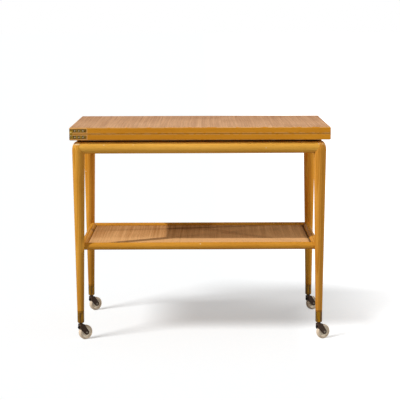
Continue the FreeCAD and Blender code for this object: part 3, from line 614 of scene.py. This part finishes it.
def slotted(name, plate, fittings, tilt):
    """Screw heads with a straight slot across each.

    The slot is where the distance across a tilted line through a head's centre is under half the
    slot's width; it is painted dark as painted shade. The metal is darker towards the rim of a
    head, as painted shade.
    """
    shader = material_shader(name)
    x, y, z = shader.place()
    along = from_screw(x, plate)
    level = z - plate["screw_z"]
    across = along * math.cos(tilt) + level * math.sin(tilt)
    width = fittings.slot_width
    slot = 1.0 - abs(across).rise(width * 0.4, width * 0.6)
    rim = ((along * along + level * level) ** 0.5).rise(plate["head"] * 0.55, plate["head"] * 0.95)
    fine = shader.noise(x * 1200, y * 1200, z * 1200, 2.0)
    metal = tuple(fittings.screw_metal)
    colour = shader.blend(metal, darker(metal, 0.55), fine)
    # Painted shade in the slots and at the rims.
    colour = shader.blend(colour, tuple(fittings.hinge_tarnish), rim.most(slot))
    return shader.finish(
        Base_Color=colour,
        Metallic=1.0 - slot.most(rim) * 0.7,
        Roughness=0.3 + fine * 0.15 + slot * 0.3,
        Normal=shader.bump(fine * 0.2 - slot, 0.0002),
    )


def coated(name, colour, seed, rough, spread, metallic=0.0, relief=0.00004, gloss=0.5):
    """A moulded, painted or dipped surface: slow colour changes, fine grain and small scuffs."""
    shader = material_shader(name)
    x, y, z = shader.place()
    slow = shader.noise(x * 60 + seed, y * 60, z * 60, 2.0)
    fine = shader.noise(x * 1500, y * 1500 + seed, z * 1500, 2.0)
    scuff = shader.noise(x * 260, y * 260, z * 1300 + seed, 2.0).rise(0.6, 0.72)
    tone = shader.blend(tuple(colour), darker(colour, 1 - spread), slow * 0.7 + fine * 0.3)
    paler = tuple(min(1.0, value * 1.25 + 0.02) for value in colour)
    tone = shader.blend(tone, paler, scuff * 0.35)
    return shader.finish(
        Base_Color=tone,
        Metallic=metallic,
        Roughness=rough + fine * 0.12 + scuff * 0.1,
        Specular_IOR_Level=gloss,
        Normal=shader.bump(fine * 0.6 - scuff * 0.4, relief),
    )


# ---------------------------------------------------------------- pieces


def dress(nodes, material):
    """Put one material in every slot of some of the solids."""
    for node in nodes:
        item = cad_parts[node]
        for slot in item.material_slots:
            slot.material = material
        if not item.material_slots:
            raise RuntimeError(f"{node} has no material slot")


def plate_places(kind):
    """Where a board's hinge plates and screw heads are: the bar's middle height, half height and
    end, the inner end of its ear, and the first screw, the pitch and the radius of the heads."""
    low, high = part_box(f"{kind}_hinge_plate_front")
    screws_low, screws_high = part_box(f"{kind}_hinge_screws")
    head = (screws_high.z - screws_low.z) / 2
    ear = (high.z - low.z) / 3
    side = 1 if kind == "lower" else -1
    return {
        "z": (high.z + low.z - side * ear) / 2,
        "half": ear,
        "end": high.x,
        "ear": low.x + EAR_LENGTH,
        "first": screws_low.x + head,
        "pitch": (screws_high.x - screws_low.x - 2 * head) / 2,
        "head": head,
        "screw_z": (screws_high.z + screws_low.z) / 2,
    }


def leg_wear_and_shade(node, wear_and_highlight, foot_share):
    """Wear and painted light of a leg: pale at the edge of its shoulder as painted highlight,
    darker by a share towards the foot as painted shade, and a dark line above the ferrule."""
    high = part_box(node)[1]
    centre = middle(node)
    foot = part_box("leg_ferrules")[1].z - centre.z
    shoulder = high.z - SHOULDER_DROP - centre.z

    def wear_and_shade(shader, x, y, z):
        # Painted highlight: a pale line at the edge of the shoulder.
        rubbed_and_highlit = edge_wear_and_highlight(shader, x, y, z, abs(z - shoulder) * 0.7, wear_and_highlight * 1.6, centre.x)
        # Painted shade: darker towards the foot.
        painted_foot_shade = (1.0 - z.rise(foot, foot + FOOT_REACH)) * foot_share
        line = (1.0 - (z - foot).rise(0.0, 0.0016)) * 0.7
        return rubbed_and_highlit, painted_foot_shade.most(line)

    return wear_and_shade


class TROLLEY_OT_legs(bpy.types.Operator):
    """Finish the four turned legs in lacquered wood with the grain along them"""

    bl_idname = "trolley.legs"
    bl_label = "Legs"

    def execute(self, context):
        timbers = context.scene.trolley_timber
        for number, corner in enumerate(CORNERS):
            node = f"leg_{corner}"
            # Each leg's share is partly its wood's tone and partly painted light and shade.
            shade = LEG_TONES_AND_PAINTED_LIGHT[number]
            material = timber(
                node,
                "Z",
                3.1 + 2.3 * number,
                shaded(timbers.frame_light, shade),
                shaded(timbers.frame_dark, shade),
                timbers.ring_width,
                wear_and_shade=leg_wear_and_shade(node, timbers.wear_and_highlight, FOOT_PAINTED_SHADES[number]),
            )
            dress([node], material)
        return {"FINISHED"}


class TROLLEY_OT_rails(bpy.types.Operator):
    """Finish the round top and shelf rails in lacquered wood with the grain along them"""

    bl_idname = "trolley.rails"
    bl_label = "Rails"

    def execute(self, context):
        timbers = context.scene.trolley_timber
        for level, kind in enumerate(("top_rail", "shelf_rail")):
            for number, side in enumerate(SIDES):
                node = f"{kind}_{side}"
                # The rails' shares are partly wood tone and partly painted light and shade: top
                # rails brighter, shelf rails darker.
                material = timber(
                    node,
                    "X" if side in ("front", "back") else "Y",
                    17.3 + 5.1 * number + 23.7 * level,
                    shaded(timbers.frame_light, RAIL_TONES_AND_PAINTED_LIGHT[level]),
                    shaded(timbers.frame_dark, RAIL_TONES_AND_PAINTED_LIGHT[level]),
                    timbers.ring_width,
                )
                dress([node], material)
        return {"FINISHED"}


class TROLLEY_OT_boards(bpy.types.Operator):
    """Finish the two boards of the top and the shelf: veneer, mitred lipping and core"""

    bl_idname = "trolley.boards"
    bl_label = "Boards and Shelf"

    def execute(self, context):
        timbers = context.scene.trolley_timber
        fittings = context.scene.trolley_fittings
        strips = {"lower": "lower_board_lipping", "leaf": "leaf_lipping"}
        for number, (kind, node) in enumerate(strips.items()):
            board = self.board(node, kind)
            dress([node], lipping(node, board, 41.0 + 7.7 * number, timbers, fittings))
        dress(["leaf_veneers"], veneer("leaf_veneer", 2.7, timbers))
        dress(["lower_board_veneer"], veneer("board_veneer", 9.1, timbers))
        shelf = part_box("shelf_veneer")[1]
        sheet = veneer("shelf_veneer", 15.4, timbers, SHELF_SHADE, (shelf.x, shelf.y))
        dress(["shelf_veneer"], sheet)
        bare = core("core_board", 5.5, timbers.board)
        dress(["lower_board_core", "leaf_core", "shelf_panel"], bare)
        return {"FINISHED"}

    def board(self, node, kind):
        """The places on a board's edge that its wood shows: ends, edges, arris, seam and plates."""
        low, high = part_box(node)
        top, bottom = (low.z, high.z) if kind == "lower" else (high.z, low.z)
        return {
            "half_long": (high.x - low.x) / 2,
            "half_wide": (high.y - low.y) / 2,
            "centre_x": (high.x + low.x) / 2,
            "outer_z": top,
            "seam_z": bottom,
            "plate": plate_places(kind),
        }


class TROLLEY_OT_slides(bpy.types.Operator):
    """Finish the guides, the runners and their screws"""

    bl_idname = "trolley.slides"
    bl_label = "Slides"

    def execute(self, context):
        timbers = context.scene.trolley_timber
        for number, node in enumerate(
            ("slide_guide_front", "slide_guide_back", "runner_front", "runner_back")
        ):
            material = timber(
                node,
                "X",
                61.0 + 4.3 * number,
                tuple(timbers.slide_light),
                tuple(timbers.slide_dark),
                timbers.ring_width * 0.8,
                sheen=0.5,
            )
            dress([node], material)
        fittings = context.scene.trolley_fittings
        steel = coated("slide_screw_steel", fittings.steel, 8.0, 0.32, 0.3, metallic=1.0)
        dress(["guide_screws", "runner_screws"], steel)
        return {"FINISHED"}


class TROLLEY_OT_hinges(bpy.types.Operator):
    """Finish the hinge plates, links and pins in aged brass and slot the screws"""

    bl_idname = "trolley.hinges"
    bl_label = "Hinges"

    def execute(self, context):
        fittings = context.scene.trolley_fittings
        aged = brass("link_brass", fittings.hinge_brass, fittings.hinge_tarnish, 12.0, -0.08)
        dress(["hinge_link_front", "hinge_link_back"], aged)
        pins = brass("pin_brass", fittings.screw_metal, fittings.hinge_brass, 3.0, -0.1)
        dress(["hinge_pins"], pins)
        for number, kind in enumerate(("lower", "leaf")):
            plate = plate_places(kind)
            bar = plate_brass(f"{kind}_plate", plate, fittings, 12.0 + 5.0 * number)
            dress([f"{kind}_hinge_plate_front", f"{kind}_hinge_plate_back"], bar)
            screws = f"{kind}_hinge_screws"
            dress([screws], slotted(screws, plate, fittings, 0.5 + 0.9 * number))
        return {"FINISHED"}


class TROLLEY_OT_ferrules(bpy.types.Operator):
    """Finish the ferrules on the leg ends in rubbed brass"""

    bl_idname = "trolley.ferrules"
    bl_label = "Ferrules"

    def execute(self, context):
        fittings = context.scene.trolley_fittings
        bright, tarnish = fittings.ferrule_brass, fittings.ferrule_tarnish
        cups = brass("ferrule_brass", bright, tarnish, 12.0, 0.0, drawn=9.0)
        dress(["leg_ferrules"], cups)
        return {"FINISHED"}


class TROLLEY_OT_castors(bpy.types.Operator):
    """Finish the castors: bronzed forks, steel axles, black buttons, cream discs and beige tyres"""

    bl_idname = "trolley.castors"
    bl_label = "Castors"

    def execute(self, context):
        fittings = context.scene.trolley_fittings
        axle = shaded(fittings.steel, AXLE_SHADE)
        finishes = {
            "caster_fork": coated("bronzed_steel", fittings.bronze, 1.0, 0.38, 0.35, gloss=0.2),
            "caster_stem": coated("stem_bronze", fittings.bronze, 2.0, 0.35, 0.3, gloss=0.2),
            "caster_axle": coated("axle_steel", axle, 3.0, 0.25, 0.3, metallic=1.0),
            "caster_bumper": coated("bumper_rubber", fittings.bumper, 4.0, 0.45, 0.3, gloss=0.1),
            "wheel_disc": coated("disc_plastic", fittings.disc, 5.0, 0.3, 0.08, gloss=0.3),
            "wheel_tyre": coated("tyre_rubber", fittings.tyre, 6.0, 0.55, 0.22, relief=0.0001),
        }
        for kind, material in finishes.items():
            dress([f"{kind}_{short}" for short in CASTORS], material)
        return {"FINISHED"}


# ---------------------------------------------------------------- studio


def add_sun(name, travel, strength, spread, receivers):
    """A distant lamp whose light travels along a direction and falls on its receivers."""
    lamp = bpy.data.lights.new(name, "SUN")
    lamp.energy = strength
    lamp.angle = math.radians(spread)
    item = bpy.data.objects.new(name, lamp)
    item.rotation_euler = Vector(travel).to_track_quat("-Z", "Y").to_euler()
    item.location = -2.0 * Vector(travel)
    item.light_linking.receiver_collection = receivers
    bpy.context.scene.collection.objects.link(item)


def lit_by_lamp(name, floor, state):
    """What a lamp lights: the floor alone, or everything but the floor."""
    held = bpy.data.collections.new(name)
    held.objects.link(floor)
    held.collection_objects[0].light_linking.link_state = state
    return held


def add_floor(glow):
    """A wide pale floor that takes the shadow, a little brighter to the camera than its light.

    The extra brightness grows behind the trolley and to its right, as painted light that fades the
    shadow out there.
    """
    mesh = bpy.data.meshes.new("floor")
    ways = ((-1, -1), (1, -1), (1, 1), (-1, 1))
    corners = [(x * FLOOR_HALF, y * FLOOR_HALF, 0.0) for x, y in ways]
    mesh.from_pydata(corners, [], [(0, 1, 2, 3)])
    floor = bpy.data.objects.new("floor", mesh)
    bpy.context.scene.collection.objects.link(floor)
    shader = material_shader("pale_floor")
    share = shader.seen()
    x, y, _ = shader.place()
    # Painted light on the floor: lighter behind and to the right, where it fades the shadow.
    behind = y.rise(0.15, 0.45).most(x.rise(0.28, 0.42))
    glow = glow + x.rise(0.3, 0.95) * 0.5 + x.rise(0.05, 0.36) * behind * 0.14
    material = shader.finish(
        Base_Color=shader.blend(FLOOR_LIGHT, FLOOR_SEEN, share),
        Roughness=0.9,
        Specular_IOR_Level=0.0,
        Emission_Color=shader.blend(BLACK, WHITE, share * glow),
        Emission_Strength=1.0,
    )
    mesh.materials.append(material)
    return floor


def add_surround(strength):
    """An even surround: white to the camera and in reflections, and a plain level as light."""
    world = bpy.data.worlds.new("surround")
    bpy.context.scene.world = world
    shader = Shader(world)
    level = shader.node(
        "ShaderNodeMapRange", None, {"Value": shader.seen(), "To Min": strength, "To Max": 1.0}
    )[0]
    background = shader.node("ShaderNodeBackground", None, {"Color": WHITE, "Strength": level})
    shader.node("ShaderNodeOutputWorld", None, {"Surface": background[0]})


def add_camera():
    """A long lens a little above the top, looking slightly down at the front."""
    yaw, pitch, roll = CAMERA_TURN
    ahead = Vector((-math.sin(yaw), math.cos(yaw), 0.0))
    right = Vector((math.cos(yaw), math.sin(yaw), 0.0))
    up = Vector((0.0, 0.0, 1.0))
    looking = ahead * math.cos(pitch) + up * math.sin(pitch)
    above = up * math.cos(pitch) - ahead * math.sin(pitch)
    side = right * math.cos(roll) + above * math.sin(roll)
    top = above * math.cos(roll) - right * math.sin(roll)
    lens = bpy.data.cameras.new("camera")
    lens.sensor_width = SENSOR
    lens.lens = LENS
    camera = bpy.data.objects.new("camera", lens)
    turn = Matrix((side, top, -looking)).transposed().to_4x4()
    camera.matrix_world = Matrix.Translation(CAMERA_PLACE) @ turn
    bpy.context.scene.collection.objects.link(camera)
    bpy.context.scene.camera = camera


class TROLLEY_OT_stage(bpy.types.Operator):
    """Add the floor, the surround, the lamps and the camera"""

    bl_idname = "trolley.stage"
    bl_label = "Studio"

    def execute(self, context):
        studio = context.scene.trolley_studio
        context.scene.view_settings.view_transform = "Standard"
        floor = add_floor(studio.floor_glow)
        add_surround(studio.sky)
        names = {"INCLUDE": "lit_floor", "EXCLUDE": "lit_trolley"}
        lit = {state: lit_by_lamp(name, floor, state) for state, name in names.items()}
        for name, setting, travel, spread, state in LAMPS:
            add_sun(name, travel, getattr(studio, setting), spread, lit[state])
        add_camera()
        return {"FINISHED"}


# ---------------------------------------------------------------- panel and start


SETTINGS = (
    ("trolley_timber", TrolleyTimber),
    ("trolley_fittings", TrolleyFittings),
    ("trolley_studio", TrolleyStudio),
)

STEPS = (
    TROLLEY_OT_stage,
    TROLLEY_OT_legs,
    TROLLEY_OT_rails,
    TROLLEY_OT_boards,
    TROLLEY_OT_slides,
    TROLLEY_OT_hinges,
    TROLLEY_OT_ferrules,
    TROLLEY_OT_castors,
)


class VIEW3D_PT_trolley(bpy.types.Panel):
    """Settings and steps of the trolley"""

    bl_label = "Tea Trolley"
    bl_idname = "VIEW3D_PT_trolley"
    bl_space_type = "VIEW_3D"
    bl_region_type = "UI"
    bl_category = "Trolley"

    def draw(self, context):
        layout = self.layout
        for step in STEPS:
            layout.operator(step.bl_idname)
        for name, group in SETTINGS:
            box = layout.box()
            for key in group.__annotations__:
                box.prop(getattr(context.scene, name), key)


CLASSES = (*(group for _, group in SETTINGS), *STEPS, VIEW3D_PT_trolley)


def register():
    """Add the classes and the scene's settings."""
    for item in CLASSES:
        bpy.utils.register_class(item)
    for name, group in SETTINGS:
        setattr(bpy.types.Scene, name, PointerProperty(type=group))


def unregister():
    """Take the settings and the classes away again."""
    for name, _ in SETTINGS:
        delattr(bpy.types.Scene, name)
    for item in reversed(CLASSES):
        bpy.utils.unregister_class(item)


def main():
    """Register everything and run the steps in order."""
    register()
    for step in STEPS:
        group, name = step.bl_idname.split(".")
        getattr(getattr(bpy.ops, group), name)()


if __name__ == "__main__":
    main()
